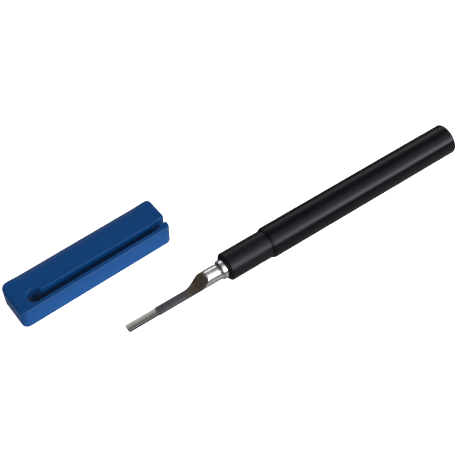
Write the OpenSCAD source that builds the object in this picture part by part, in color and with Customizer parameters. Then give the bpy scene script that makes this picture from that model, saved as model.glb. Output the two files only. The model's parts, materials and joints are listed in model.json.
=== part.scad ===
// Pen-style deburring tool: a swivelling scraper blade in a quick-change holder with a
// spring-loaded release sleeve, and the clip cap that covers the blade in a pocket.
//
// Frame: the tool's axis is X, with the blade towards -X. The origin is on that axis,
// midway along the handle's full-diameter grip. +Z is up, and the tool and its cap
// both lie on the plane z = -handle_d / 2.

/* [Handle] */
// Diameter of the barrel
handle_d = 12; // [11:0.5:14]
// Length of the barrel, from its front shoulder to its rear face
handle_len = 85; // [70:1:110]
// Length of the chamfer at the barrel's front shoulder
shoulder_len = 1; // [0.5:0.1:2]
// Height of that chamfer
shoulder_drop = 0.4; // [0.2:0.05:0.5]
// Radius that rounds the rear edge of the barrel
rear_edge_r = 0.2; // [0.2:0.1:1.2]
// Diameter of the bore that runs through the barrel
barrel_bore_d = 8; // [7.6:0.1:8.4]

/* [Release sleeve] */
// Diameter of the sleeve
sleeve_d = 10.7; // [10.5:0.1:10.8]
// Length of the sleeve in front of the barrel
sleeve_len = 18.25; // [18:0.05:24]
// Length of the tapered nose
nose_len = 1; // [0.8:0.1:2]
// Diameter of the sleeve's front face
nose_face_d = 8.3; // [7.8:0.1:9]
// How far the sleeve is drawn back to free the blade
sleeve_travel = 2.5; // [2.4:0.1:2.8]

/* [Blade] */
// Diameter of the collar in front of the sleeve
collar_d = 7.2; // [7:0.1:7.6]
// Length of that collar
collar_len = 1.7; // [1.5:0.1:3]
// Gap between the collar and the blade's shank
neck_len = 1; // [0.5:0.1:1.5]
// Diameter of the blade's round shank
shank_d = 6; // [5.6:0.1:6.4]
// Length of shank that stays round on top
shank_len = 5; // [3:0.1:8]
// Reach of the blade in front of the sleeve
blade_reach = 40.3; // [38:0.1:50]
// Height of the arm's flat top below the tool's axis
flat_drop = 1.65; // [1.2:0.05:2]
// Offset of the arm's straight side beyond the axis
side_offset = 1.25; // [0.5:0.05:1.5]
// Radius of the hollow that the grinding wheel left behind the arm
scoop_r = 13; // [10:0.5:16]
// Length of the ground tip
tip_len = 12; // [8:0.5:16]

/* [Cap] */
// Length of the cap
cap_len = 62.7; // [58:0.1:70]
// Width of the cap, with its clip
cap_w = 15.6; // [15.3:0.1:16]
// Height of the cap
cap_h = 8.8; // [8.7:0.1:11]
// Thickness of the clip arm
clip_t = 2.1; // [1.6:0.1:2.4]
// Width of the slot behind the clip arm, at its round hole
slot_w = 3.4; // [3:0.1:3.5]
// Width of the slot at the clip arm's free end
slot_end_w = 2.9; // [2.6:0.1:3]
// Diameter of the round hole that ends the slot
keyhole_d = 5.5; // [5:0.1:6]
// Distance from the closed end to that hole's centre
keyhole_x = 8; // [7:0.5:10]
// Radius of the corners seen from above
cap_corner_r = 2.4; // [1.5:0.1:3]
// Radius of the long edges
cap_edge_r = 1; // [0.5:0.1:1.4]
// Depth of the socket for the blade
socket_len = 46; // [44:1:48]
// Turn of the cap out of line with the tool
cap_turn = 2; // [0:0.5:10]

/* [Hidden] */
$fn = 64;

eps = 0.01;                               // overrun of a cut past the face it opens
running = 0.05;                           // radial clearance of a sliding fit
contact = 0.02;                           // gap between faces that only touch
floor_z = -handle_d / 2;

// Stations along the axis
rear_x = handle_len / 2;
front_x = -rear_x;
sleeve_front = front_x - sleeve_len;
collar_front = sleeve_front - collar_len;
shank_rear = collar_front - neck_len;
scoop_x = shank_rear - shank_len;
tip_x = sleeve_front - blade_reach;

// Barrel and its rear plug
counterbore_d = sleeve_d + 4 * running;
sleeve_tail = 1.5;                        // length of the sleeve that stays in the barrel
counterbore_len = sleeve_tail + sleeve_travel + 0.5;
plug_len = 9.2;
plug_head_len = 1.2;
plug_head_d = barrel_bore_d + 1.3;

// Holder core: a tube that screws into the barrel and carries everything in front of it
core_d = 6.6;
core_bore_d = 5.2;
core_rear_x = front_x + 22;
core_flange_x = front_x + counterbore_len;
journal_d = 4;
journal_rear = front_x + 0.8;
front_bush_len = 4.4;
rear_bush_len = 8;
rear_bush_x = front_x - 10;
thrust_ball_d = 3.8;
screw_len = 7;
screw_socket = 2.5;                       // width across the flats
screw_socket_len = 2.5;

// Locking balls
ball_d = 1.8;
ball_x = sleeve_front + 4.5;
ball_count = 3;
ball_orbit = core_d / 2 + contact - ball_d / 2;
groove_clearance = 0.05;

// Inside of the release sleeve
sleeve_rear = front_x + sleeve_tail;
sleeve_bore_d = core_d + 2 * running;
lip_len = 0.8;
relief_d = 8.4;
relief_len = 2.3;
land_len = 3.2;
chamber_d = 9.3;
chamber_x = sleeve_front + lip_len + relief_len + land_len;

// Spring behind the sleeve's land
washer_t = 0.8;
washer_d = 9.1;
washer_x = core_flange_x - washer_t;
wire_d = 0.7;
spring_mean_d = 8;
spring_turns = 8;
spring_steps = 18;                        // rings of the wire in one turn
spring_sides = 8;                         // sides of the wire
dead_turns = 1;                           // closed turns at each end

// Blade
scoop_top = 2.3;                          // height of the hollow's end above the axis
waist_gap = 1.3;                          // from the scoop's rear edge to the waist
waist_len = 6.5;                          // over which the shank narrows to the arm
neck_flare_d = collar_d - 0.3;            // where the lower half of the neck meets the collar
neck_notch_tilt = 43;                     // turn of the neck's notch towards the far side
tip_facet_drop = 0.2;                     // depth ground off the tip
tip_bevel_w = 1.1;                        // width of the tip's bevelled edge
tip_bevel_angle = 32;
curve_steps = 14;

// Cap
cap_corner = [-129.1, 21.8];              // its near corner at the closed end
near_wall_y = clip_t;
socket_d = collar_d + 2 * running;
socket_wall = 0.7;                        // between the socket and the cap's far side
socket_y = cap_w - socket_wall - socket_d / 2;
recess_len = 4.7;
recess_depth = 0.4;
clip_end_x = cap_len - 0.45;              // the clip arm ends just short of the cap's end
clip_end_r = 2.4;
pad_len = 3.3;                            // pad that the clip grips with, at its free end
pad_h = 1.25;
pad_r = 0.9;
keyhole_edge = 0.6;                       // chamfer round the hole's rims
keyhole_bite = 0.05;                      // how far the hole cuts into the clip's root

// A solid of revolution about X; the profile's height runs along +X
module turned() {
    rotate([0, 90, 0]) rotate_extrude() children();
}

// A round bar about X, from x0 to x1
module bar(d, x0, x1) {
    translate([x0, 0, 0]) rotate([0, 90, 0]) cylinder(d = d, h = x1 - x0);
}

// A tube about X
module tube(outer, inner, x0, x1) {
    difference() {
        bar(outer, x0, x1);
        bar(inner, x0 - eps, x1 + eps);
    }
}

module barrel() {
    color([0.02, 0.02, 0.025])
        difference() {
            translate([front_x, 0, 0]) turned() barrel_profile();
            bar(barrel_bore_d, front_x - eps, rear_x + eps);
            bar(counterbore_d, front_x - eps, core_flange_x);
            bar(plug_head_d + 2 * running, rear_x - plug_head_len, rear_x + eps);
        }
}

// Half section of the barrel: a chamfered front shoulder and a rounded rear edge
module barrel_profile() {
    r = handle_d / 2;
    polygon([
        [0, 0], [r - shoulder_drop, 0], [r, shoulder_len],
        [r, handle_len - rear_edge_r], [0, handle_len - rear_edge_r]
    ]);
    square([r - rear_edge_r, handle_len]);
    translate([r - rear_edge_r, handle_len - rear_edge_r]) circle(rear_edge_r);
}

module rear_plug() {
    color([0.03, 0.03, 0.035]) {
        bar(plug_head_d, rear_x - plug_head_len + contact, rear_x);
        bar(barrel_bore_d - 2 * contact, rear_x - plug_len, rear_x - plug_head_len + 2 * contact);
    }
}

module holder_core() {
    color([0.62, 0.62, 0.64])
        difference() {
            union() {
                bar(core_d, collar_front, core_rear_x);
                bar(barrel_bore_d - 2 * contact, core_flange_x + contact, core_rear_x);
            }
            bar(core_bore_d, collar_front - eps, core_rear_x + eps);
            for (k = [0 : ball_count - 1])
                rotate([k * 360 / ball_count, 0, 0])
                    translate([ball_x, 0, 0])
                        cylinder(d = ball_d + 2 * contact, h = core_d);
        }
}

module nose_collar() {
    color([0.85, 0.85, 0.86])
        difference() {
            bar(collar_d, collar_front, sleeve_front - contact);
            bar(core_d + 2 * eps, collar_front - eps, sleeve_front);
        }
}

module front_bush() {
    x0 = collar_front + contact;
    color([0.72, 0.52, 0.28])
        tube(core_bore_d - 2 * contact, journal_d + 2 * running, x0, x0 + front_bush_len);
}

module rear_bush() {
    x0 = rear_bush_x;
    color([0.72, 0.52, 0.28])
        tube(core_bore_d - 2 * contact, journal_d + 2 * running, x0, x0 + rear_bush_len);
}

module thrust_ball() {
    color([0.75, 0.75, 0.77])
        translate([journal_rear + contact + thrust_ball_d / 2, 0, 0]) sphere(d = thrust_ball_d);
}

module thrust_screw() {
    x0 = journal_rear + 2 * contact + thrust_ball_d;
    x1 = x0 + screw_len;
    color([0.3, 0.3, 0.32])
        difference() {
            bar(core_bore_d - 2 * contact, x0, x1);
            translate([x1 - screw_socket_len, 0, 0])
                rotate([0, 90, 0])
                    cylinder(d = screw_socket / cos(30), h = screw_socket_len + eps, $fn = 6);
        }
}

module locking_balls() {
    color([0.75, 0.75, 0.77])
        for (k = [0 : ball_count - 1])
            rotate([k * 360 / ball_count, 0, 0])
                translate([ball_x, 0, ball_orbit]) sphere(d = ball_d);
}

module spring_washer() {
    color([0.6, 0.6, 0.62]) tube(washer_d, core_d + 2 * contact, washer_x, core_flange_x);
}

// How far along the spring its wire has climbed after t turns, from 0 to 1
function climb(t) =
    let (dead = dead_turns * wire_d, live = spring_turns - 2 * dead_turns)
    t < dead_turns ? t * wire_d
    : t > spring_turns - dead_turns ? spring_rise - (spring_turns - t) * wire_d
    : dead + (t - dead_turns) * (spring_rise - 2 * dead) / live;
spring_rise = washer_x - chamber_x - wire_d - 2 * contact;

module sleeve_spring() {
    rings = spring_turns * spring_steps;
    points = [
        for (i = [0 : rings], k = [0 : spring_sides - 1])
            let (turn = 360 * i / spring_steps, side = 360 * k / spring_sides)
            let (r = (spring_mean_d + wire_d * cos(side)) / 2)
            [
                chamber_x + contact + wire_d / 2 + climb(i / spring_steps) + wire_d / 2 * sin(side),
                r * cos(turn),
                r * sin(turn)
            ]
    ];
    walls = [
        for (i = [0 : rings - 1], k = [0 : spring_sides - 1])
            let (a = i * spring_sides, b = a + spring_sides, n = (k + 1) % spring_sides)
            [a + k, a + n, b + n, b + k]
    ];
    start = [for (k = [spring_sides - 1 : -1 : 0]) k];
    end = [for (k = [0 : spring_sides - 1]) rings * spring_sides + k];
    color([0.7, 0.7, 0.72]) polyhedron(points, concat(walls, [start, end]), convexity = 10);
}

module release_sleeve() {
    land_x = sleeve_front + lip_len + relief_len;
    color([0.04, 0.04, 0.045])
        difference() {
            translate([sleeve_front, 0, 0])
                turned()
                    polygon([
                        [0, 0], [nose_face_d / 2, 0], [sleeve_d / 2, nose_len],
                        [sleeve_d / 2, sleeve_len + sleeve_tail], [0, sleeve_len + sleeve_tail]
                    ]);
            bar(sleeve_bore_d, sleeve_front - eps, sleeve_rear + eps);
            bar(relief_d, sleeve_front + lip_len, land_x);
            bar(chamber_d, chamber_x, sleeve_rear + eps);
        }
}

// Smooth step from 0 to 1
function ease(t) = t * t * (3 - 2 * t);

// Shank and arm seen from above: one straight side, and one that narrows in an S
module blade_plan() {
    r = shank_d / 2;
    waist = [
        for (i = [0 : curve_steps])
            let (t = i / curve_steps)
            [scoop_x - waist_gap - waist_len * t, r - (r - side_offset) * ease(t)]
    ];
    polygon(concat(
        [[shank_rear, -r], [shank_rear, r]],
        waist,
        [[tip_x, side_offset], [tip_x, -r]]
    ));
}

// Everything that the grinding wheel took off the top of the blade, in the XZ plane:
// a flat along the arm that ends in a hollow, which climbs to the wheel's steep side
module scoop_cut() {
    r = shank_d / 2;
    climb_angle = acos(1 - (scoop_top + flat_drop) / scoop_r);
    foot_x = scoop_x - scoop_r * sin(climb_angle);
    hollow = [
        for (i = [0 : curve_steps])
            let (a = climb_angle * i / curve_steps)
            [foot_x + scoop_r * sin(a), scoop_r * (1 - cos(a)) - flat_drop]
    ];
    translate([0, r + eps, 0])
        rotate([90, 0, 0])
            linear_extrude(2 * (r + eps))
                polygon(concat(
                    [[tip_x - 1, r + 1], [tip_x - 1, -flat_drop]],
                    hollow,
                    [[scoop_x + 0.2, r + 1]]
                ));
}

// The tip's ground facet and the bevel along its near edge
module tip_cuts() {
    r = shank_d / 2;
    facet_z = -flat_drop - tip_facet_drop;
    edge_y = -sqrt(r * r - facet_z * facet_z);
    translate([tip_x - 1, -r - 1, facet_z]) cube([tip_len + 1, 2 * r + 2, r]);
    translate([tip_x - 1, edge_y + tip_bevel_w, facet_z])
        rotate([-tip_bevel_angle, 0, 0])
            translate([0, -2 * r, 0]) cube([tip_len + 1.4, 2 * r, r]);
}

// The neck's lower half, which flares from the shank to the collar; above it is a notch
module neck_flare() {
    intersection() {
        translate([shank_rear - eps, 0, 0])
            rotate([0, 90, 0])
                cylinder(d1 = shank_d - 2 * eps, d2 = neck_flare_d, h = neck_len - 2 * contact);
        rotate([-neck_notch_tilt, 0, 0])
            translate([shank_rear - 1, -shank_d, -2 * shank_d])
                cube([neck_len + 1, 2 * shank_d, 2 * shank_d]);
    }
}

module blade() {
    color([0.6, 0.6, 0.62]) {
        difference() {
            intersection() {
                bar(shank_d, tip_x, shank_rear);
                translate([0, 0, -shank_d]) linear_extrude(2 * shank_d) blade_plan();
            }
            scoop_cut();
            tip_cuts();
        }
        bar(core_bore_d, shank_rear - eps, collar_front - 2 * contact);
        neck_flare();
        difference() {
            bar(journal_d, collar_front - 3 * contact, journal_rear);
            translate([ball_x, 0, 0])
                rotate([0, 90, 0])
                    rotate_extrude()
                        translate([ball_orbit, 0]) circle(d = ball_d + 2 * groove_clearance);
        }
    }
}

// A rectangle from the origin, with rounded corners
module soft_rectangle(w, h, edge) {
    translate([edge, 0]) square([w - 2 * edge, h]);
    translate([0, edge]) square([w, h - 2 * edge]);
    for (x = [edge, w - edge], y = [edge, h - edge])
        translate([x, y]) circle(edge);
}

// A rail along +X, w wide and h high, with rounded long edges
module soft_rail(len, w, h, edge) {
    rotate([90, 0, 90]) linear_extrude(len) soft_rectangle(w, h, edge);
}

// A block from the origin, with round corners in plan and rounded edges
module soft_block(len, w, h, corner, edge) {
    translate([corner, 0, 0]) soft_rail(len - 2 * corner, w, h, edge);
    translate([len, corner, 0]) rotate([0, 0, 90]) soft_rail(w - 2 * corner, len, h, edge);
    for (x = [corner, len - corner], y = [corner, w - corner])
        translate([x, y, 0])
            rotate_extrude()
                intersection() {
                    translate([-corner, 0]) soft_rectangle(2 * corner, h, edge);
                    square([corner, h]);
                }
}

// The round hole that ends the slot, with both rims chamfered
module keyhole() {
    r = keyhole_d / 2;
    translate([keyhole_x, near_wall_y - keyhole_bite + r, 0]) {
        translate([0, 0, -eps]) cylinder(r = r, h = cap_h + 2 * eps);
        translate([0, 0, -eps]) cylinder(r1 = r + keyhole_edge, r2 = r, h = keyhole_edge);
        translate([0, 0, cap_h + eps - keyhole_edge])
            cylinder(r1 = r, r2 = r + keyhole_edge, h = keyhole_edge);
    }
}

// The slot behind the clip arm, widened opposite the pad at the arm's free end
module slot_plan() {
    difference() {
        union() {
            polygon([
                [keyhole_x, near_wall_y], [cap_len + eps, near_wall_y],
                [cap_len + eps, near_wall_y + slot_end_w], [keyhole_x, near_wall_y + slot_w]
            ]);
            translate([cap_len - recess_len, near_wall_y])
                square([recess_len + eps, slot_end_w + recess_depth]);
        }
        translate([clip_end_x - pad_len, near_wall_y - pad_r])
            soft_rectangle(pad_len, pad_h + pad_r, pad_r);
    }
}

// What is left off the clip arm's free end, to shorten it and to round its corner
module clip_end_plan() {
    translate([clip_end_x, -eps]) square([cap_len - clip_end_x + eps, near_wall_y + pad_h + eps]);
    difference() {
        translate([clip_end_x - clip_end_r, -eps]) square([clip_end_r + eps, clip_end_r + eps]);
        translate([clip_end_x - clip_end_r, clip_end_r]) circle(clip_end_r);
    }
}

// The cap in its own frame: closed end at x = 0, clip along y = 0, underside at z = 0
module cap_body() {
    difference() {
        soft_block(cap_len, cap_w, cap_h, cap_corner_r, cap_edge_r);
        translate([0, 0, -eps]) linear_extrude(cap_h + 2 * eps) slot_plan();
        translate([0, 0, -eps]) linear_extrude(cap_h + 2 * eps) clip_end_plan();
        translate([0, socket_y, cap_h / 2])
            bar(socket_d, cap_len - socket_len, cap_len + eps);
        keyhole();
    }
}

module cap() {
    translate([cap_corner[0], cap_corner[1], floor_z])
        rotate([0, 0, cap_turn])
            color([0.05, 0.22, 0.5]) cap_body();
}

barrel();
rear_plug();
holder_core();
nose_collar();
front_bush();
rear_bush();
thrust_ball();
thrust_screw();
locking_balls();
spring_washer();
sleeve_spring();
release_sleeve();
blade();
cap();
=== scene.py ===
"""Looks for the pen-style deburring tool and the clip cap that lies beside it.

Shapes are in metres in the row frame: the tool's axis is X, the blade points towards -X,
+Z is up, and the tool and its cap lie on the same surface. Sizes are written in MM.
"""
import json
import math

import bmesh
import bpy
from mathutils import Matrix, Vector


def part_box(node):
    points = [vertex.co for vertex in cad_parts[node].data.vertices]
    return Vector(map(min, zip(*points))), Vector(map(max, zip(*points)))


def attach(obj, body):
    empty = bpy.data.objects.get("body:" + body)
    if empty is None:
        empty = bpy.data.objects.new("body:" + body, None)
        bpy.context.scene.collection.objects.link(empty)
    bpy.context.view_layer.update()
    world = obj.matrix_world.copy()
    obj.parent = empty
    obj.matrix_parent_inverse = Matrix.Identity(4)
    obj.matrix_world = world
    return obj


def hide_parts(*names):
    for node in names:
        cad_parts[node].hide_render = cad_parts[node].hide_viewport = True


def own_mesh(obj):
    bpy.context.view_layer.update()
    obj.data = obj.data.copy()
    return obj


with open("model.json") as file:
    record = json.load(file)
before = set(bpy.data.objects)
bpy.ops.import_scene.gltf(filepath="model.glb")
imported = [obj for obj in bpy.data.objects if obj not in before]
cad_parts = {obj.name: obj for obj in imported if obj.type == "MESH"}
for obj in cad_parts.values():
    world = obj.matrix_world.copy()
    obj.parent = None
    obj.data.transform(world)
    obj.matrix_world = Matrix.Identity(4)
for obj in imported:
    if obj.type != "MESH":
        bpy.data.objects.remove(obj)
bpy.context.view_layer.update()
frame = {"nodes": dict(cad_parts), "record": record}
nodes = frame["nodes"]

MM = 0.001
MICRON = 0.000001
TURNED_SIDES = 160                 # facets round a turned part
SHARP_ANGLE = math.radians(32)     # edges bent more than this stay crisp
MERGE_DIST = 1e-7                  # points closer than this become one
AXIS_R = 0.0001 * MM               # radius of a turned outline where it meets the axis


# ---------------------------------------------------------------- places from the frame

def span(node):
    """A turned node's two ends along the tool's axis, and its radius."""
    low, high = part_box(node)
    return low.x, high.x, high.z


BARREL_FRONT, BARREL_REAR, BARREL_R = span("barrel")
SLEEVE_FRONT, SLEEVE_REAR, SLEEVE_R = span("release_sleeve")
COLLAR_FRONT, COLLAR_REAR, COLLAR_R = span("nose_collar")
FLANGE_R = span("holder_core")[2]
PLUG_FRONT, PLUG_REAR, PLUG_R = span("rear_plug")
BLADE_TIP, JOURNAL_REAR, SHANK_R = span("blade")
FLOOR_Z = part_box("barrel")[0].z
SLEEVE_TRAVEL = 2.5 * MM               # how far back the joint sleeve_release goes

MOUNTS = {mount["name"]: mount for mount in frame["record"]["mounts"]}
SOCKET = MOUNTS["cap_socket"]
HANG_HOLE = MOUNTS["cap_hang_hole"]


# ---------------------------------------------------------------- sizes of the blade

SHANK_REAR = COLLAR_FRONT - 1.0 * MM
NECK_LEN = 0.96 * MM
NECK_FLARE = 0.45 * MM                 # how far the neck widens towards the collar
NOTCH_END = 137                        # where the notch in the neck ends, in degrees
NOTCH_START = 317                      # from the far side round over the top
SCOOP_X = SHANK_REAR - 5.0 * MM        # rear edge of the ground hollow
SCOOP_TOP = 2.3 * MM                   # height of that edge above the axis
SCOOP_R = 13 * MM                      # radius of the hollow
FLAT_Z = -1.65 * MM                    # the arm's flat top
SIDE_Y = 1.25 * MM                     # the arm's straight side
WAIST_X = SCOOP_X - 1.3 * MM
WAIST_LEN = 6.5 * MM
TIP_ROOT = BLADE_TIP + 12 * MM
FACET_Z = FLAT_Z - 0.2 * MM
FACET_HOLLOW = 0.10 * MM               # how far the tip's face dips in its middle
BEVEL_W = 1.1 * MM
BEVEL_ANGLE = math.radians(32)

# Steps of the blade's sections: round the bar, up its far side, over to its top, across it
ARC_STEPS = 84
WALL_STEPS = 6
SHOULDER_STEPS = 10
TOP_STEPS = 16
BEVEL_PARTS = (0.14, 0.42, 0.71, 1.0)  # the bevel's points, from the crease to its edge
TOP_START = ARC_STEPS + WALL_STEPS + SHOULDER_STEPS
CREASE = TOP_START + TOP_STEPS - len(BEVEL_PARTS)
NOTCH_STEPS = round(ARC_STEPS * (NOTCH_END - 90) / 270)
TIP_SIDE_STEPS = 8                     # steps of the tip's near side, below its bevel, in the bevel's painted shade


# ---------------------------------------------------------------- mesh helpers

def make_piece(name, bm, *materials):
    """Turns a bmesh into a smooth object whose sharp bends stay crisp."""
    bmesh.ops.remove_doubles(bm, verts=bm.verts, dist=MERGE_DIST)
    bmesh.ops.dissolve_degenerate(bm, edges=bm.edges, dist=MERGE_DIST)
    bmesh.ops.recalc_face_normals(bm, faces=bm.faces)
    mesh = bpy.data.meshes.new(name)
    bm.to_mesh(mesh)
    bm.free()
    for polygon in mesh.polygons:
        polygon.use_smooth = True
    mesh.set_sharp_from_angle(angle=SHARP_ANGLE)
    for material in materials:
        mesh.materials.append(material)
    piece = bpy.data.objects.new(name, mesh)
    bpy.context.scene.collection.objects.link(piece)
    return piece


def stands_for(piece, node, body):
    """The piece is shown in place of a CAD node, and moves with its body."""
    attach(piece, body)
    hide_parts(node)


def ease(t):
    """A smooth start and end for a factor from 0 to 1."""
    return t * t * (3 - 2 * t)


def fillet(before, corner, after, radius, steps):
    """The arc that rounds a corner, as points from one side to the other."""
    to_before = (before - corner).normalized()
    to_after = (after - corner).normalized()
    half = to_before.angle(to_after) / 2
    start = corner + to_before * (radius / math.tan(half))
    end = corner + to_after * (radius / math.tan(half))
    centre = corner + (to_before + to_after).normalized() * (radius / math.sin(half))
    first = math.atan2(start.y - centre.y, start.x - centre.x)
    turn = math.atan2(end.y - centre.y, end.x - centre.x) - first
    turn = (turn + math.pi) % (2 * math.pi) - math.pi
    angles = [first + turn * k / steps for k in range(steps + 1)]
    return [centre + Vector((math.cos(a), math.sin(a))) * radius for a in angles]


def turned(name, corners, *materials, steps=6):
    """A solid of revolution about X from its closed half section of (x, radius, fillet)."""
    outline = []
    for i, (x, r, radius) in enumerate(corners):
        here = Vector((x, r))
        if radius:
            before = Vector(corners[i - 1][:2])
            after = Vector(corners[(i + 1) % len(corners)][:2])
            outline += fillet(before, here, after, radius, steps)
        else:
            outline.append(here)
    bm = bmesh.new()
    rings = []
    for x, r in outline:
        angles = [2 * math.pi * k / TURNED_SIDES for k in range(TURNED_SIDES)]
        rings.append([bm.verts.new((x, r * math.sin(a), r * math.cos(a))) for a in angles])
    for ring, following in zip(rings, rings[1:] + rings[:1]):
        join_rings(bm, ring, following)
    return make_piece(name, bm, *materials)


def join_rings(bm, ring, following):
    """Quads between two closed loops of the same count; returns them in order."""
    count = len(ring)
    return [
        bm.faces.new((ring[k], ring[(k + 1) % count], following[(k + 1) % count], following[k]))
        for k in range(count)
    ]


# ---------------------------------------------------------------- camera

VIEW_AZIMUTH = math.radians(-34.94)
VIEW_ELEVATION = math.radians(55)
VIEW_DISTANCE = 0.4049
VIEW_TARGET = Vector((-0.04712, 0.01625, FLOOR_Z))
LENS_MM = 86.46
SENSOR_MM = 36


def make_camera():
    """The photograph's view of the object."""
    back = Vector((
        math.sin(VIEW_AZIMUTH) * math.cos(VIEW_ELEVATION),
        -math.cos(VIEW_AZIMUTH) * math.cos(VIEW_ELEVATION),
        math.sin(VIEW_ELEVATION),
    ))
    data = bpy.data.cameras.new("camera")
    data.lens = LENS_MM
    data.sensor_width = SENSOR_MM
    data.clip_start = 0.01
    data.clip_end = 20
    camera = bpy.data.objects.new("camera", data)
    camera.location = VIEW_TARGET + back * VIEW_DISTANCE
    camera.rotation_mode = "QUATERNION"
    camera.rotation_quaternion = (-back).to_track_quat("-Z", "Y")
    bpy.context.scene.collection.objects.link(camera)
    bpy.context.scene.camera = camera


make_camera()


# ---------------------------------------------------------------- material helpers

class Nodes:
    """A node tree, with short calls to add to it."""

    def __init__(self, tree):
        self.tree = tree

    def add(self, kind, **settings):
        node = self.tree.nodes.new(kind)
        for key, value in settings.items():
            setattr(node, key, value)
        return node

    def link(self, source, target):
        self.tree.links.new(source, target)

    def axes(self, vector):
        """The sockets X, Y and Z of a vector."""
        split = self.add("ShaderNodeSeparateXYZ")
        self.link(vector, split.inputs[0])
        return split.outputs

    def remap(self, source, start, end, low=0, high=1):
        """A value that goes from low to high while its source goes from start to end."""
        node = self.add("ShaderNodeMapRange")
        names = ("From Min", "From Max", "To Min", "To Max")
        for name, value in zip(names, (start, end, low, high)):
            node.inputs[name].default_value = value
        self.link(source, node.inputs["Value"])
        return node.outputs["Result"]

    def ramp(self, source, *stops):
        """A colour ramp from stops of (position, colour or grey)."""
        node = self.add("ShaderNodeValToRGB")
        elements = node.color_ramp.elements
        while len(elements) < len(stops):
            elements.new(0.5)
        for element, (position, colour) in zip(elements, stops):
            element.position = position
            rgb = colour if isinstance(colour, tuple) else (colour,) * 3
            element.color = (*rgb, 1)
        self.link(source, node.inputs["Fac"])
        return node.outputs["Color"]


class Surface(Nodes):
    """A material with one Principled shader, in the object's own space."""

    def __init__(self, name):
        self.material = bpy.data.materials.new(name)
        self.material.use_nodes = True
        super().__init__(self.material.node_tree)
        self.tree.nodes.clear()
        self.shader = self.add("ShaderNodeBsdfPrincipled")
        out = self.add("ShaderNodeOutputMaterial")
        self.link(self.shader.outputs["BSDF"], out.inputs["Surface"])
        self.place = self.add("ShaderNodeTexCoord").outputs["Object"]

    def constant(self, socket, value):
        self.shader.inputs[socket].default_value = value

    def drive(self, socket, source):
        self.link(source, self.shader.inputs[socket])

    def noise(self, scale, detail=4, roughness=0.5, stretch=(1, 1, 1)):
        """Grey noise from 0 to 1; stretch above 1 packs it tighter along that axis."""
        mapping = self.add("ShaderNodeMapping")
        mapping.inputs["Scale"].default_value = stretch
        self.link(self.place, mapping.inputs["Vector"])
        node = self.add("ShaderNodeTexNoise")
        node.inputs["Scale"].default_value = scale
        node.inputs["Detail"].default_value = detail
        node.inputs["Roughness"].default_value = roughness
        self.link(mapping.outputs["Vector"], node.inputs["Vector"])
        return node.outputs["Fac"]

    def along(self, axis, start, end):
        """A factor that goes from 0 to 1 between two places on an axis, "X" or "Y"."""
        return self.remap(self.axes(self.place)[axis], start, end)

    def sum(self, *terms):
        """Adds sockets and numbers; a (socket, factor) pair is multiplied first."""
        total = None
        for term in terms:
            if isinstance(term, tuple):
                node = self.add("ShaderNodeMath", operation="MULTIPLY")
                self.link(term[0], node.inputs[0])
                node.inputs[1].default_value = term[1]
                term = node.outputs[0]
            if total is None:
                total = term
                continue
            node = self.add("ShaderNodeMath", operation="ADD")
            self.link(total, node.inputs[0])
            if isinstance(term, (int, float)):
                node.inputs[1].default_value = term
            else:
                self.link(term, node.inputs[1])
            total = node.outputs[0]
        return total

    def product(self, a, b):
        node = self.add("ShaderNodeMath", operation="MULTIPLY")
        self.link(a, node.inputs[0])
        self.link(b, node.inputs[1])
        return node.outputs[0]

    def mix(self, factor, a, b):
        """Blends two colours, each a socket or a triple."""
        node = self.add("ShaderNodeMix", data_type="RGBA")
        sockets = {socket.name: socket for socket in node.inputs if socket.enabled}
        for value, socket in ((factor, sockets["Factor"]), (a, sockets["A"]), (b, sockets["B"])):
            if isinstance(value, tuple):
                socket.default_value = (*value, 1)
            elif isinstance(value, (int, float)):
                socket.default_value = value
            else:
                self.link(value, socket)
        return next(socket for socket in node.outputs if socket.enabled)

    def bump(self, height, distance, strength=0.5):
        node = self.add("ShaderNodeBump")
        node.inputs["Distance"].default_value = distance
        node.inputs["Strength"].default_value = strength
        self.link(height, node.inputs["Height"])
        self.drive("Normal", node.outputs["Normal"])


# ---------------------------------------------------------------- materials

COOL_SHEEN = (0.93, 0.97, 1.12, 1)     # tint of the black plastics' reflections


def handle_black():
    """Glossy black moulding: faint lengthwise polishing marks, haze and specks of dust, a
    little duller towards the front, where it is held."""
    s = Surface("handle_black")
    s.constant("Specular IOR Level", 0.17)
    s.constant("Specular Tint", COOL_SHEEN)
    haze = s.noise(150, 5, 0.6)
    streaks = s.noise(900, 3, 0.55, (0.02, 1, 1))
    specks = s.ramp(s.noise(2600, 2, 0.5), (0.74, 0.0), (0.80, 1.0))
    base = s.ramp(haze, (0.35, (0.0010, 0.0010, 0.0012)), (0.7, (0.0018, 0.0018, 0.0022)))
    s.drive("Base Color", s.mix(s.sum((specks, 0.35)), base, (0.010, 0.010, 0.011)))
    handled = s.along("X", BARREL_FRONT + 32 * MM, BARREL_FRONT)
    s.drive("Roughness", s.sum((haze, 0.10), (streaks, 0.07), (handled, 0.07), 0.10))
    s.bump(streaks, 5 * MICRON, 0.4)
    return s.material


def sleeve_black():
    """Satin black sleeve with fine turning rings and a soft mottle."""
    s = Surface("sleeve_black")
    s.constant("Specular IOR Level", 0.20)
    s.constant("Specular Tint", COOL_SHEEN)
    rings = s.noise(2600, 3, 0.6, (1, 0.01, 0.01))
    mottle = s.noise(420, 6, 0.65)
    dark = (0.0016, 0.0016, 0.0018)
    light = (0.0032, 0.0032, 0.0035)
    s.drive("Base Color", s.ramp(mottle, (0.3, dark), (0.75, light)))
    s.drive("Roughness", s.sum((mottle, 0.14), (rings, 0.06), 0.24))
    s.bump(s.sum((rings, 0.7), mottle), 9 * MICRON, 0.45)
    return s.material


def plug_black():
    """Matt black plug, moulded with a fine grain."""
    s = Surface("plug_black")
    grain = s.noise(1800, 5, 0.65)
    s.drive("Base Color", s.ramp(grain, (0.3, 0.010), (0.75, 0.019)))
    s.drive("Roughness", s.sum((grain, 0.2), 0.42))
    s.bump(grain, 20 * MICRON)
    return s.material


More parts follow.
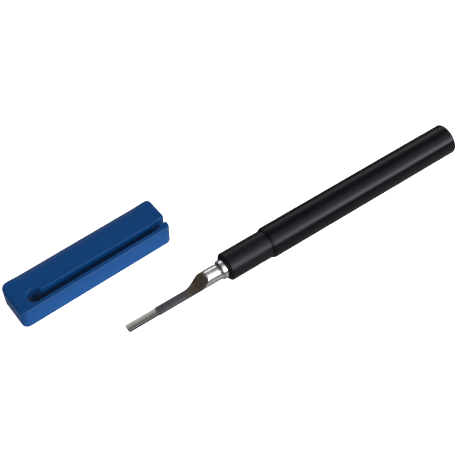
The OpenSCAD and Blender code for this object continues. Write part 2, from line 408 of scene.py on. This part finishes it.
def metal(name, light, dark, rough, ring_scale=0, ring_depth=0, cloud_rough=0.06):
    """Bare metal: cloudy tint, and turning marks round the axis where it was turned."""
    s = Surface(name)
    s.constant("Metallic", 1.0)
    cloud = s.noise(380, 4, 0.6)
    s.drive("Base Color", s.ramp(cloud, (0.3, dark), (0.7, light)))
    s.drive("Roughness", s.sum((cloud, cloud_rough), rough))
    if ring_scale:
        rings = s.noise(ring_scale, 3, 0.55, (1, 0.02, 0.02))
        s.bump(rings, ring_depth, 0.6)
    return s.material


def ground_steel():
    """The wheel-ground top of the blade: straw-brown in the hollow, greyer along the arm,
    with grinding marks across it, a painted sheen that pales the arm towards its near edge,
    and a paler lip where the hollow meets the shank."""
    s = Surface("ground_steel")
    s.constant("Metallic", 1.0)
    marks = s.noise(5200, 3, 0.6, (1, 0.05, 0.25))
    broad = s.noise(700, 4, 0.6, (1, 0.4, 0.6))
    to_hollow = s.along("X", SCOOP_X - 10.55 * MM, SCOOP_X - 6.05 * MM)
    sheen_toward_edge = s.along("Y", -0.3 * MM, -2.1 * MM)
    arm = s.ramp(marks, (0.30, (0.056, 0.054, 0.060)), (0.72, (0.155, 0.151, 0.163)))
    pale = s.ramp(marks, (0.30, (0.19, 0.19, 0.20)), (0.72, (0.36, 0.36, 0.37)))
    # painted sheen: the arm is paler towards its near edge
    arm = s.mix(s.sum((sheen_toward_edge, 0.55)), arm, pale)
    specks = s.noise(3600, 4, 0.75)
    mottle = s.sum((broad, 0.25), (specks, 0.75))
    hollow = s.ramp(mottle, (0.38, (0.050, 0.038, 0.026)), (0.62, (0.210, 0.170, 0.130)))
    lip = s.along("X", SCOOP_X - 0.45 * MM, SCOOP_X - 0.1 * MM)
    hollow = s.mix(lip, hollow, (0.55, 0.52, 0.47))
    s.drive("Base Color", s.mix(to_hollow, arm, hollow))
    s.drive("Roughness", s.sum((marks, 0.2), (broad, 0.1), 0.30))
    s.bump(s.sum(marks, (broad, 0.4)), 20 * MICRON)
    return s.material


def tip_steel():
    """The hollow-ground face of the tip: pale, warm steel, with painted shade that darkens it
    towards its edge.
    """
    s = Surface("tip_steel")
    s.constant("Metallic", 1.0)
    marks = s.noise(3600, 3, 0.55, (0.1, 1, 1))
    # painted shade: the face darkens from its far side towards the crease
    across = s.along("Y", 0.6 * MM, -1.1 * MM)
    pale = s.ramp(marks, (0.3, (0.60, 0.585, 0.53)), (0.7, (0.82, 0.80, 0.73)))
    painted_shade = s.ramp(marks, (0.3, (0.045, 0.039, 0.031)), (0.7, (0.085, 0.075, 0.062)))
    s.drive("Base Color", s.mix(across, pale, painted_shade))
    s.drive("Roughness", s.sum((marks, 0.12), 0.34))
    s.bump(marks, 8 * MICRON, 0.4)
    return s.material


def cap_blue():
    """Moulded blue plastic: fine spark texture, flow marks, scuffs, and paler edges that stand
    for wear and a painted highlight.
    """
    s = Surface("cap_blue")
    s.constant("Specular IOR Level", 0.14)
    grain = s.noise(1700, 4, 0.6)
    flow = s.noise(70, 4, 0.55, (0.4, 1, 1))
    scuffs = s.ramp(s.noise(260, 6, 0.7, (0.12, 1, 1)), (0.62, 0.0), (0.78, 1.0))
    worn_and_lit = s.add("ShaderNodeNewGeometry").outputs["Pointiness"]
    # paler convex edges: partly wear, partly a painted highlight
    edge = s.ramp(worn_and_lit, (0.52, 0.0), (0.62, 1.0))
    base = s.ramp(flow, (0.3, (0.0016, 0.0315, 0.115)), (0.72, (0.0024, 0.0365, 0.133)))
    base = s.mix(s.sum((scuffs, 0.10)), base, (0.006, 0.050, 0.16))
    s.drive("Base Color", s.mix(s.sum((edge, 0.35)), base, (0.004, 0.055, 0.17)))
    s.drive("Roughness", s.sum((grain, 0.05), (scuffs, 0.10), 0.22))
    s.bump(s.sum(grain, (flow, 0.3)), 4 * MICRON, 0.3)
    return s.material


BLACK_GLOSS = handle_black()
BLACK_SATIN = sleeve_black()
BLACK_MATT = plug_black()
POLISHED = metal(
    "polished_steel", (0.72, 0.72, 0.715), (0.60, 0.60, 0.60), 0.07,
    ring_scale=2200, ring_depth=4 * MICRON, cloud_rough=0.04,
)
TURNED = metal(
    "turned_steel", (0.60, 0.60, 0.62), (0.50, 0.50, 0.52), 0.28,
    ring_scale=2400, ring_depth=10 * MICRON,
)
BRONZE = metal(
    "bush_bronze", (0.60, 0.40, 0.19), (0.42, 0.27, 0.12), 0.34,
    ring_scale=1900, ring_depth=12 * MICRON, cloud_rough=0.2,
)
BALL = metal("ball_steel", (0.72, 0.72, 0.74), (0.66, 0.66, 0.68), 0.06)
BLACKENED = metal(
    "black_steel", (0.09, 0.09, 0.10), (0.05, 0.05, 0.055), 0.38,
    ring_scale=2100, ring_depth=10 * MICRON, cloud_rough=0.15,
)
WIRE = metal("spring_steel", (0.60, 0.60, 0.62), (0.44, 0.44, 0.46), 0.25, cloud_rough=0.15)
GROUND = ground_steel()
TIP = tip_steel()
# Painted shade: a near-black steel for the tip's bevel and the near side below it.
BEVEL_SHADE = metal(
    "bevel_painted_shade", (0.026, 0.024, 0.029), (0.014, 0.013, 0.017), 0.24,
    ring_scale=3000, ring_depth=6 * MICRON,
)
# Painted highlight: a paler steel on the crease draws a light line between the tip's face and
# its bevel.
CREASE_HIGHLIGHT = metal("crease_highlight_steel", (0.27, 0.26, 0.27), (0.18, 0.17, 0.18), 0.2)
# Painted shade: a dark brown-grey steel for the groove beside the collar.
GROOVE_SHADE = metal(
    "groove_painted_shade", (0.21, 0.195, 0.17), (0.08, 0.073, 0.064), 0.34,
    ring_scale=1500, ring_depth=10 * MICRON, cloud_rough=0.2,
)
BLUE = cap_blue()


# ---------------------------------------------------------------- handle and holder

def barrel_piece():
    """The handle's tube, counterbored for the sleeve and its travel."""
    shoulder_len = 1.0 * MM
    shoulder_drop = 0.4 * MM
    counterbore_x = SLEEVE_REAR + SLEEVE_TRAVEL + 0.5 * MM
    counterbore_r = SLEEVE_R + 0.1 * MM
    bore_r = FLANGE_R + 0.02 * MM
    seat_x = BARREL_REAR - 1.2 * MM
    seat_r = PLUG_R + 0.05 * MM
    piece = turned("barrel_shell", [
        (BARREL_FRONT, counterbore_r, 0.06 * MM),
        (BARREL_FRONT, BARREL_R - shoulder_drop, 0.05 * MM),
        (BARREL_FRONT + shoulder_len, BARREL_R, 0.35 * MM),
        (BARREL_REAR, BARREL_R, 0.2 * MM),
        (BARREL_REAR, seat_r, 0.08 * MM),
        (seat_x, seat_r, 0),
        (seat_x, bore_r, 0),
        (counterbore_x, bore_r, 0),
        (counterbore_x, counterbore_r, 0),
    ], BLACK_GLOSS, steps=8)
    stands_for(piece, "barrel", "handle")


def sleeve_piece():
    """The release sleeve, with a relief for the locking balls and room for its spring."""
    face_r = 4.15 * MM
    nose_len = 1.0 * MM
    bore_r = 3.35 * MM
    relief_r = 4.2 * MM
    relief_x = SLEEVE_FRONT + 0.8 * MM
    land_x = relief_x + 2.3 * MM
    chamber_x = land_x + 3.2 * MM
    chamber_r = 4.65 * MM
    piece = turned("sleeve_shell", [
        (SLEEVE_FRONT, bore_r, 0.08 * MM),
        (SLEEVE_FRONT, face_r, 0.25 * MM),
        (SLEEVE_FRONT + nose_len, SLEEVE_R, 0.4 * MM),
        (SLEEVE_REAR, SLEEVE_R, 0.12 * MM),
        (SLEEVE_REAR, chamber_r, 0),
        (chamber_x, chamber_r, 0),
        (chamber_x, bore_r, 0),
        (land_x, bore_r, 0),
        (land_x, relief_r, 0),
        (relief_x, relief_r, 0),
        (relief_x, bore_r, 0),
    ], BLACK_SATIN)
    stands_for(piece, "release_sleeve", "sleeve")


def collar_piece():
    """The ring in front of the sleeve."""
    bore_r = 3.31 * MM
    piece = turned("nose_ring", [
        (COLLAR_FRONT, bore_r, 0.05 * MM),
        (COLLAR_FRONT, COLLAR_R, 0.25 * MM),
        (COLLAR_REAR, COLLAR_R, 0.08 * MM),
        (COLLAR_REAR, bore_r, 0),
    ], POLISHED)
    stands_for(piece, "nose_collar", "handle")


def plug_piece():
    """The plug that closes the barrel, with a dimple in its head."""
    head_front = PLUG_REAR - 1.18 * MM
    body_r = FLANGE_R
    dimple_r = 2.2 * MM
    dimple_x = PLUG_REAR - 0.35 * MM
    piece = turned("end_plug", [
        (PLUG_FRONT, AXIS_R, 0),
        (PLUG_FRONT, body_r, 0.3 * MM),
        (head_front, body_r, 0),
        (head_front, PLUG_R, 0),
        (PLUG_REAR, PLUG_R, 0.25 * MM),
        (PLUG_REAR, dimple_r, 0.15 * MM),
        (dimple_x, dimple_r - 0.3 * MM, 0.15 * MM),
        (dimple_x, AXIS_R, 0),
    ], BLACK_MATT)
    stands_for(piece, "rear_plug", "handle")


# ---------------------------------------------------------------- spring

def spring_piece():
    """The sleeve's coil spring, closed at both ends."""
    front, rear, outer_r = span("sleeve_spring")
    mean_r = 4.0 * MM
    wire_r = outer_r - mean_r
    turns = 8
    dead_turns = 1
    steps = 40
    sides = 12
    rise = rear - front - 2 * wire_r
    dead_rise = dead_turns * 2 * wire_r
    live_rise = rise - 2 * dead_rise
    bm = bmesh.new()
    rings = []
    for i in range(turns * steps + 1):
        turn = i / steps
        live = min(max((turn - dead_turns) / (turns - 2 * dead_turns), 0), 1)
        dead = min(turn, dead_turns) + max(turn - (turns - dead_turns), 0)
        x = front + wire_r + live * live_rise + dead * 2 * wire_r
        ring = []
        for k in range(sides):
            side = 2 * math.pi * k / sides
            r = mean_r + wire_r * math.cos(side)
            angle = 2 * math.pi * turn
            place = (x + wire_r * math.sin(side), r * math.cos(angle), r * math.sin(angle))
            ring.append(bm.verts.new(place))
        rings.append(ring)
    for ring, following in zip(rings, rings[1:]):
        join_rings(bm, ring, following)
    bm.faces.new(rings[0][::-1])
    bm.faces.new(rings[-1])
    piece = make_piece("coil_spring", bm, WIRE)
    stands_for(piece, "sleeve_spring", "handle")
    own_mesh(piece)


# ---------------------------------------------------------------- blade

def hollow_z(x):
    """Height of the ground top: the flat, then the hollow that climbs to the shank."""
    climb = math.acos(1 - (SCOOP_TOP - FLAT_Z) / SCOOP_R)
    foot = SCOOP_X - SCOOP_R * math.sin(climb)
    if x <= foot:
        return FLAT_Z
    return FLAT_Z + SCOOP_R - math.sqrt(SCOOP_R ** 2 - (x - foot) ** 2)


def side_y(x):
    """Place of the far side: full radius at the shank, then an S-curve to the arm."""
    t = min(max((WAIST_X - x) / WAIST_LEN, 0), 1)
    return SHANK_R - (SHANK_R - SIDE_Y) * ease(t)


def tip_top(edge_y):
    """The tip's top from its far side: a shallow hollow, a crease, then the bevel."""
    crease_y = edge_y + BEVEL_W
    points = []
    face_steps = TOP_STEPS - len(BEVEL_PARTS)
    for k in range(face_steps + 1):
        t = k / face_steps
        dip = FACET_HOLLOW * 4 * t * (1 - t)
        points.append((SIDE_Y + (crease_y - SIDE_Y) * t, FACET_Z - dip))
    slope = math.tan(BEVEL_ANGLE)
    search_step = 0.005 * MM
    bevel_end = crease_y
    while bevel_end ** 2 + (FACET_Z - (crease_y - bevel_end) * slope) ** 2 < SHANK_R ** 2:
        bevel_end -= search_step
    for t in BEVEL_PARTS:
        y = crease_y + (bevel_end - crease_y) * t
        points.append((y, FACET_Z - (crease_y - y) * slope))
    return points


def blade_section(radius, side, top, tip=False):
    """One cross-section as (y, z), with the same count of points wherever it is cut:
    round the bar from the near top edge to the far side, up that side, and across the top."""
    side = min(side, radius)
    top = min(top, radius)
    wall_z = math.sqrt(radius ** 2 - side ** 2)
    far_y = min(side, math.sqrt(radius ** 2 - top ** 2))
    if tip:
        across = tip_top(-math.sqrt(radius ** 2 - FACET_Z ** 2))
        top = FACET_Z
    else:
        near_y = -math.sqrt(radius ** 2 - top ** 2)
        across = [(far_y + (near_y - far_y) * k / TOP_STEPS, top) for k in range(TOP_STEPS + 1)]
    near = across[-1]
    start = math.atan2(near[1], near[0]) % (2 * math.pi)
    end = 2 * math.pi - math.acos(side / radius)
    section = []
    for k in range(ARC_STEPS):
        a = start + (end - start) * k / ARC_STEPS
        section.append((radius * math.cos(a), radius * math.sin(a)))
    wall_top = min(wall_z, top)
    for k in range(WALL_STEPS):
        section.append((side, -wall_z + (wall_top + wall_z) * k / WALL_STEPS))
    a0 = math.acos(side / radius)
    a1 = max(math.asin(top / radius), a0)
    for k in range(SHOULDER_STEPS):
        a = a0 + (a1 - a0) * k / SHOULDER_STEPS
        on_bar = (radius * math.cos(a), radius * math.sin(a))
        section.append(on_bar if top > wall_z else across[0])
    return section + across[:-1]


def ball_groove(x, orbit, r, journal_r):
    """Stations of (x, radius) along the round groove that the locking balls sit in."""
    steps = 10
    reach = math.acos((orbit - journal_r) / r)
    angles = [-reach + 2 * reach * k / steps for k in range(steps + 1)]
    return [(x + r * math.sin(a), orbit - r * math.cos(a)) for a in angles]


def notched(x, section):
    """A cross-section beside the collar: cut back only on top, and flared below that."""
    flare = NECK_FLARE * min(max((x - SHANK_REAR) / NECK_LEN, 0), 1)
    points = []
    for y, z in section:
        angle = math.degrees(math.atan2(z, y)) % 360
        r = math.hypot(y, z)
        if NOTCH_END < angle < NOTCH_START:
            r = SHANK_R + flare
        points.append((r * math.cos(math.radians(angle)), r * math.sin(math.radians(angle))))
    return points


def blade_metal(part, k):
    """The metal of a face, where k counts the steps of the section from its first point."""
    if part == "neck":
        # painted shade on the notched faces of the groove
        return GROOVE_SHADE if k <= NOTCH_STEPS or k >= ARC_STEPS else POLISHED
    if part == "shank":
        return POLISHED
    if part == "arm":
        return POLISHED if k < ARC_STEPS else GROUND
    # painted shade on the tip's near side and its bevel
    if k < TIP_SIDE_STEPS or k > CREASE:
        return BEVEL_SHADE
    if k < ARC_STEPS:
        return POLISHED
    # painted highlight along the crease
    if k == CREASE:
        return CREASE_HIGHLIGHT
    return TIP if k >= TOP_START else GROUND


def blade_sections():
    """The blade from its tip to its journal's rear end, as (x, section, part)."""
    arm_steps = 60
    round_off = 0.15 * MM
    neck_r = 2.6 * MM
    neck_end = SHANK_REAR + NECK_LEN
    journal_r = 2.0 * MM
    groove_x = SLEEVE_FRONT + 4.5 * MM
    groove_orbit = 2.42 * MM
    groove_r = 0.95 * MM
    sections = []
    for x in (BLADE_TIP, BLADE_TIP + 0.05 * MM, TIP_ROOT - 0.02 * MM):
        sections.append((x, blade_section(SHANK_R, SIDE_Y, FACET_Z, tip=True), "tip"))
    for k in range(arm_steps + 1):
        x = TIP_ROOT + (SCOOP_X - TIP_ROOT) * k / arm_steps
        sections.append((x, blade_section(SHANK_R, side_y(x), hollow_z(x)), "arm"))
    for x, top in ((SCOOP_X + 0.03 * MM, 2.7 * MM), (SCOOP_X + 0.08 * MM, SHANK_R)):
        sections.append((x, blade_section(SHANK_R, SHANK_R, top), "shank"))
    stations = [
        (SHANK_REAR - round_off, SHANK_R),
        (SHANK_REAR, SHANK_R - round_off),
        (SHANK_REAR, neck_r),
        (neck_end, neck_r),
        (neck_end, journal_r),
        *ball_groove(groove_x, groove_orbit, groove_r, journal_r),
        (JOURNAL_REAR - round_off, journal_r),
        (JOURNAL_REAR, journal_r - round_off),
    ]
    for x, r in stations:
        section = blade_section(r, r, r)
        if SHANK_REAR <= x <= neck_end and r >= neck_r:
            sections.append((x, notched(x, section), "neck"))
        else:
            sections.append((x, section, "shank"))
    return sections


def blade_piece():
    """The blade, lofted through its sections in six metals."""
    metals = [POLISHED, GROUND, TIP, BEVEL_SHADE, GROOVE_SHADE, CREASE_HIGHLIGHT]
    sections = blade_sections()
    bm = bmesh.new()
    rings = [[bm.verts.new((x, y, z)) for y, z in section] for x, section, part in sections]
    parts = [part for x, section, part in sections]
    for ring, following, part in zip(rings, rings[1:], parts[1:]):
        for k, face in enumerate(join_rings(bm, ring, following)):
            face.material_index = metals.index(blade_metal(part, k))
    bm.faces.new(rings[0]).material_index = metals.index(GROUND)
    bm.faces.new(rings[-1])
    piece = make_piece("scraper_blade", bm, *metals)
    stands_for(piece, "blade", "blade")


# ---------------------------------------------------------------- cap

CAP_L = 62.7 * MM
CAP_W = 15.6 * MM
CAP_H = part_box("cap")[1].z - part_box("cap")[0].z
CLIP_T = 2.1 * MM
HOLE_R = HANG_HOLE["dims"]["r_mm"] * MM
HOLE = Vector((8 * MM, CLIP_T - 0.05 * MM + HOLE_R))
SOCKET_R = SOCKET["dims"]["r_mm"] * MM
SOCKET_LEN = SOCKET["dims"]["length_mm"] * MM
SOCKET_Y = CAP_W - 0.7 * MM - SOCKET_R
CAP_TURN = math.atan2(SOCKET["axis"][1], SOCKET["axis"][0])

# Rounding of the cap's upper edge, as (width, height)
OUTER_EDGE = (1.1 * MM, 1.1 * MM)
FAR_EDGE = (3.2 * MM, 1.2 * MM)
SLOT_EDGE = (0.35 * MM, 0.35 * MM)
HOLE_EDGE = (0.6 * MM, 0.5 * MM)
END_EDGE = (0.6 * MM, 0.6 * MM)
UNDER_SINK = 0.35 * MM                 # the underside is sunk by this, inside a sloping rim


def blended(first, second, t):
    """An upper edge between two others, from the first at t = 0 to the second at t = 1."""
    return [a + (b - a) * t for a, b in zip(first, second)]


def cap_outline():
    """The cap from above, counter-clockwise, as (place, upper edge) with the slot's walls."""
    slot_far = CLIP_T + 3.4 * MM
    slot_end = CLIP_T + 2.9 * MM
    recess_x = CAP_L - 4.7 * MM
    recess_y = slot_end + 0.4 * MM
    clip_end = CAP_L - 0.45 * MM
    pad_x = clip_end - 3.3 * MM
    pad_y = CLIP_T + 1.25 * MM
    near_a = math.radians(-79)
    far_a = math.asin((slot_far - 0.05 * MM - HOLE.y) / HOLE_R)
    rim_steps = 48
    rim_blend_steps = 8
    rim = []
    for k in range(rim_steps + 1):
        a = near_a - (2 * math.pi + near_a - far_a) * k / rim_steps
        t = min(k, rim_steps - k, rim_blend_steps) / rim_blend_steps
        edge = blended(SLOT_EDGE, HOLE_EDGE, t)
        rim.append((HOLE.x + HOLE_R * math.cos(a), HOLE.y + HOLE_R * math.sin(a), 0, edge))
    blend_start = 3 * MM
    blend_len = 6 * MM
    blend_steps = 12
    far_side = []
    for k in range(blend_steps + 1):
        t = k / blend_steps
        far_side.append((blend_start + t * blend_len, blended(OUTER_EDGE, FAR_EDGE, ease(t))))
    far_side = (
        [(CAP_L - x, CAP_W, 0, edge) for x, edge in far_side]
        + [(x, CAP_W, 0, edge) for x, edge in reversed(far_side)]
    )
    corners = [
        (0, 0, 2.4 * MM, OUTER_EDGE),
        (clip_end, 0, 2.4 * MM, OUTER_EDGE),
        (clip_end, pad_y, 0.9 * MM, END_EDGE),
        (pad_x, pad_y, 0.8 * MM, SLOT_EDGE),
        (pad_x, CLIP_T, 0.5 * MM, SLOT_EDGE),
        (HOLE.x + 4 * MM, CLIP_T, 0, SLOT_EDGE),
        *rim,
        (HOLE.x + 5 * MM, slot_far - 0.1 * MM, 0, SLOT_EDGE),
        (recess_x, slot_end, 0.38 * MM, SLOT_EDGE),
        (recess_x, recess_y, 0, SLOT_EDGE),
        (CAP_L, recess_y, 0.7 * MM, END_EDGE),
        (CAP_L, CAP_W, 1.8 * MM, OUTER_EDGE),
        *far_side,
        (0, CAP_W, 2.8 * MM, OUTER_EDGE),
    ]
    outline = []
    for i, (x, y, radius, edge) in enumerate(corners):
        here = Vector((x, y))
        if radius:
            before = Vector(corners[i - 1][:2])
            after = Vector(corners[(i + 1) % len(corners)][:2])
            outline += [(point, edge) for point in fillet(before, here, after, radius, 10)]
        else:
            outline.append((here, edge))
    return outline


def inward(outline, i):
    """The direction into the cap at an outline point, long enough to keep walls parallel."""
    here = outline[i][0]
    back = (here - outline[i - 1][0]).normalized()
    ahead = (outline[(i + 1) % len(outline)][0] - here).normalized()
    left_back = Vector((-back.y, back.x))
    left_ahead = Vector((-ahead.y, ahead.x))
    middle = (left_back + left_ahead).normalized()
    return middle / max(middle.dot(left_ahead), 0.5)


def cap_layer(bm, outline, layer):
    """One closed loop of the cap's wall; layer gives (inset, height) from an upper edge."""
    ring = []
    for i, (point, edge) in enumerate(outline):
        inset, height = layer(*edge)
        place = point + inward(outline, i) * inset
        ring.append(bm.verts.new((place.x, place.y, height)))
    return ring


def cap_body():
    """The cap's block with its slot, from the sunk underside up to the rounded top."""
    round_steps = 8
    outline = cap_outline()
    bm = bmesh.new()
    rings = []
    for sink in (UNDER_SINK, 0):
        rings.append(cap_layer(bm, outline, lambda width, height: (sink, sink)))
    for k in range(round_steps + 1):
        a = math.pi / 2 * k / round_steps
        inner = 1 - math.cos(a)
        below = 1 - math.sin(a)
        rings.append(cap_layer(
            bm, outline, lambda width, height: (width * inner, CAP_H - height * below)
        ))
    for ring, following in zip(rings, rings[1:]):
        join_rings(bm, ring, following)
    bm.faces.new(rings[0][::-1])
    bm.faces.new(rings[-1])
    return make_piece("clip_cap", bm, BLUE)


def bore_socket(body):
    """Cuts the blade's socket, with a lead-in at its mouth."""
    lead = 0.5 * MM
    cutter = turned("socket_cutter", [
        (CAP_L - SOCKET_LEN, AXIS_R, 0),
        (CAP_L - SOCKET_LEN, SOCKET_R, 0.6 * MM),
        (CAP_L - lead, SOCKET_R, 0.2 * MM),
        (CAP_L + 0.1 * MM, SOCKET_R + lead, 0),
        (CAP_L + 2 * MM, SOCKET_R + lead, 0),
        (CAP_L + 2 * MM, AXIS_R, 0),
    ], BLUE)
    cutter.data.transform(Matrix.Translation((0, SOCKET_Y, CAP_H / 2)))
    cut = body.modifiers.new("socket", "BOOLEAN")
    cut.operation = "DIFFERENCE"
    cut.solver = "EXACT"
    cut.object = cutter
    bpy.context.view_layer.update()
    graph = bpy.context.evaluated_depsgraph_get()
    bored = bpy.data.meshes.new_from_object(body.evaluated_get(graph))
    body.modifiers.clear()
    body.data = bored
    bpy.data.objects.remove(cutter)


def cap_place():
    """Where the cap's own frame lies: its round hole goes to the hole's mount."""
    turn = Matrix.Rotation(CAP_TURN, 4, "Z")
    hole = Vector((*HANG_HOLE["pos_m"][:2], FLOOR_Z))
    return Matrix.Translation(hole) @ turn @ Matrix.Translation(-HOLE.to_3d())


def cap_piece():
    """The whole cap in its place, one moulding."""
    piece = cap_body()
    bore_socket(piece)
    piece.data.transform(cap_place())
    for polygon in piece.data.polygons:
        polygon.use_smooth = True
    piece.data.set_sharp_from_angle(angle=SHARP_ANGLE)
    weigh = piece.modifiers.new("flat_faces", "WEIGHTED_NORMAL")
    weigh.keep_sharp = True
    stands_for(piece, "cap", "cap")


# ---------------------------------------------------------------- assembly

barrel_piece()
sleeve_piece()
collar_piece()
plug_piece()
spring_piece()
blade_piece()
cap_piece()

CAD_METALS = {
    "holder_core": TURNED,
    "front_bush": BRONZE,
    "rear_bush": BRONZE,
    "thrust_ball": BALL,
    "thrust_screw": BLACKENED,
    "locking_balls": BALL,
    "spring_washer": TURNED,
}

for node, material in CAD_METALS.items():
    mesh = nodes[node].data
    mesh.materials.clear()
    mesh.materials.append(material)


# ---------------------------------------------------------------- floor and light

# Brightness of the studio by angle, in degrees round the tool's axis: 0 is overhead,
# 90 the near horizon and -90 the far one. The near side holds one long softbox.
STUDIO = (
    (-180, 0.20), (-152, 0.20), (-135, 0.10), (-100, 0.10), (-88, 0.15), (-78, 0.5),
    (-69, 1.7), (-60, 1.4), (-48, 0.8), (-36, 0.4), (-27, 0.25), (-18, 0.25),
    (-8, 0.45), (5, 0.9), (20, 1.5), (34, 2.2), (46, 4.2), (56, 8.0), (62, 8.0),
    (67, 5.0), (72, 1.6), (78, 0.25), (92, 0.2), (97, 0.5), (130, 0.5), (150, 0.3), (180, 0.3),
)
SKY_TINT = (0.97, 0.98, 1.0)
TIP_SIDE_FADE = (-0.7, 0.05)           # between these X's the sky dims towards the blade's tip
TIP_SIDE_LEVEL = 0.3                   # what is left of it on that side

FLOOR_HALF = 8                         # half the floor's width, in metres
FLOOR_GLOW = 0.3
FRONT_GLOW = 1.4                       # more glow in front of the object, rising along these:
FRONT_GLOW_X = (-150 * MM, -115 * MM)
FRONT_GLOW_Y = (60 * MM, 22 * MM)


def floor_surface(name):
    """The floor's matt off-white."""
    surface = Surface(name)
    surface.constant("Specular IOR Level", 0.1)
    surface.constant("Base Color", (0.9, 0.9, 0.9, 1))
    surface.constant("Roughness", 0.9)
    return surface


def floor_patch(name, surface, low, high, place, mirrored):
    """A flat rectangle of the floor, from two of its corners."""
    bm = bmesh.new()
    corners = ((low[0], low[1]), (high[0], low[1]), (high[0], high[1]), (low[0], high[1]))
    bm.faces.new([bm.verts.new((x, y, 0)) for x, y in corners])
    patch = make_piece(name, bm, surface.material)
    patch.matrix_world = place
    patch.visible_glossy = mirrored


def make_floor():
    """A pale floor that glows a little and isn't mirrored, and a plain patch under the cap
    that is, so that the slot looks dark."""
    lit = floor_surface("floor_white")
    lit.constant("Emission Color", (1, 1, 1, 1))
    in_front = lit.product(lit.along("X", *FRONT_GLOW_X), lit.along("Y", *FRONT_GLOW_Y))
    lit.drive("Emission Strength", lit.sum((in_front, FRONT_GLOW), FLOOR_GLOW))
    low = (-FLOOR_HALF, -FLOOR_HALF)
    high = (FLOOR_HALF, FLOOR_HALF)
    place = Matrix.Translation((0, 0, FLOOR_Z - 0.02 * MM))
    floor_patch("floor", lit, low, high, place, mirrored=False)
    shaded = floor_surface("floor_shaded")
    inset = 1 * MM
    low = (inset, inset)
    high = (CAP_L - inset, CAP_W - inset)
    place = cap_place() @ Matrix.Translation((0, 0, -0.01 * MM))
    floor_patch("floor_under_cap", shaded, low, high, place, mirrored=True)


def make_world():
    """Soft light all round, from a ramp over the angle about the tool's axis."""
    world = bpy.data.worlds.new("studio")
    world.use_nodes = True
    sky = Nodes(world.node_tree)
    axes = sky.axes(sky.add("ShaderNodeTexCoord").outputs["Generated"])
    near = sky.add("ShaderNodeMath", operation="MULTIPLY")
    sky.link(axes["Y"], near.inputs[0])
    near.inputs[1].default_value = -1
    angle = sky.add("ShaderNodeMath", operation="ARCTAN2")
    sky.link(near.outputs[0], angle.inputs[0])
    sky.link(axes["Z"], angle.inputs[1])
    turn = sky.remap(angle.outputs[0], -math.pi, math.pi)
    brightest = max(value for degrees, value in STUDIO)
    stops = [
        ((degrees + 180) / 360, tuple(value / brightest * tint for tint in SKY_TINT))
        for degrees, value in STUDIO
    ]
    strength = sky.remap(axes["X"], *TIP_SIDE_FADE, TIP_SIDE_LEVEL * brightest, brightest)
    background = world.node_tree.nodes["Background"]
    sky.link(sky.ramp(turn, *stops), background.inputs["Color"])
    sky.link(strength, background.inputs["Strength"])
    bpy.context.scene.world = world


make_floor()
make_world()
bpy.context.scene.view_settings.view_transform = "Standard"
